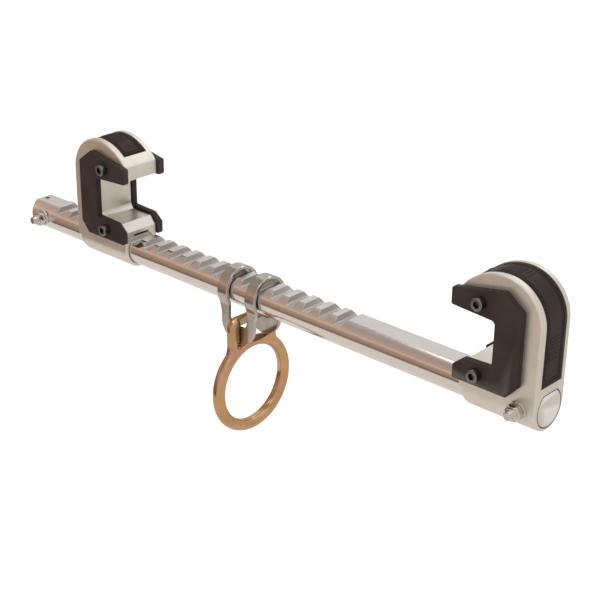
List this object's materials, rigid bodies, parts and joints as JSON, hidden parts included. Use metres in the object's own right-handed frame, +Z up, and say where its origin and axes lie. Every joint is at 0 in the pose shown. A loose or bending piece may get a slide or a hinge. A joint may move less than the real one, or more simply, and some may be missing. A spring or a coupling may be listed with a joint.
{
  "type": "sliding beam anchor",
  "caption": "Adjustable beam anchor: notched round bar with a fixed and a ratcheting C-shaped jaw, bent strip saddle and hanging lanyard ring.",
  "frame": {"origin": "the corner at the fixed jaw where the flange's edge meets its top face, on the bar's middle plane", "axes": "+Z up, X along the bar with the fixed jaw at +X and the sliding jaw at -X, -Y the side with the locknuts"},
  "size_m": [0.4828, 0.0758, 0.1922],
  "materials": {
    "bar_steel": "bright zinc plate over turned bar, satin along the length",
    "jaw_steel": "satin nickel plate, brighter on the rounded edges",
    "pad_black": "matt black moulding",
    "grip_black": "matt black rubber",
    "screw_black": "black oxide",
    "zinc": "bright zinc plate",
    "nylon": "natural nylon",
    "spring_steel": "drawn wire",
    "pawl_steel": "hardened steel, dark",
    "button_steel": "turned stainless steel",
    "saddle_steel": "polished stainless strip",
    "ring_zinc": "yellow chromate over zinc, faintly iridescent"
  },
  "bodies": {
    "bar": {"bar": "bar_steel", "fixed_jaw": "jaw_steel", "fixed_jaw_front_pad": "pad_black", "fixed_jaw_rear_pad": "pad_black", "fixed_jaw_front_screws": "screw_black", "fixed_jaw_rear_screws": "screw_black", "fixed_jaw_spine_grip": "grip_black", "fixed_jaw_bolt": "zinc", "fixed_jaw_washers": "zinc", "fixed_jaw_locknut": "zinc", "end_stop_bolt": "zinc", "end_stop_washers": "zinc", "end_stop_locknut": "zinc", "locknut_inserts": "nylon"},
    "sliding_jaw": {"sliding_jaw": "jaw_steel", "sliding_jaw_front_pad": "pad_black", "sliding_jaw_rear_pad": "pad_black", "sliding_jaw_front_screws": "screw_black", "sliding_jaw_rear_screws": "screw_black", "sliding_jaw_spine_grip": "grip_black", "pawl_pin": "pawl_steel", "pawl_spring": "spring_steel"},
    "pawl": {"pawl": "pawl_steel"},
    "release_button": {"release_button": "button_steel", "release_button_clip": "spring_steel"},
    "hanger": {"hanger": "saddle_steel"},
    "ring": {"anchor_ring": "ring_zinc"}
  },
  "joints": [
    {"name": "jaw_slide", "type": "slide", "parent": "bar", "child": "sliding_jaw", "axis": [1, 0, 0], "range_m": [-0.02914, 0.24769]},
    {"name": "hanger_slide", "type": "slide", "parent": "bar", "child": "hanger", "axis": [1, 0, 0], "range_m": [-0.01904, 0.16175]},
    {"name": "ring_swing", "type": "hinge", "parent": "hanger", "child": "ring", "pos_m": [-0.21874, 0, -0.0728], "axis": [0, 1, 0], "range_deg": [-85, 85]},
    {"name": "pawl_lift", "type": "hinge", "parent": "sliding_jaw", "child": "pawl", "pos_m": [-0.3615, 0, -0.038], "axis": [0, 1, 0], "range_deg": [-13.2, 2]},
    {"name": "button_press", "type": "slide", "parent": "sliding_jaw", "child": "release_button", "axis": [1, 0, 0], "range_m": [-0.0047, 0.00075]}
  ],
  "couplings": [
    {"joint": "hanger_slide", "follows": "jaw_slide", "ratio": 0.653},
    {"joint": "button_press", "follows": "pawl_lift", "m_per_rad": 0.02}
  ]
}
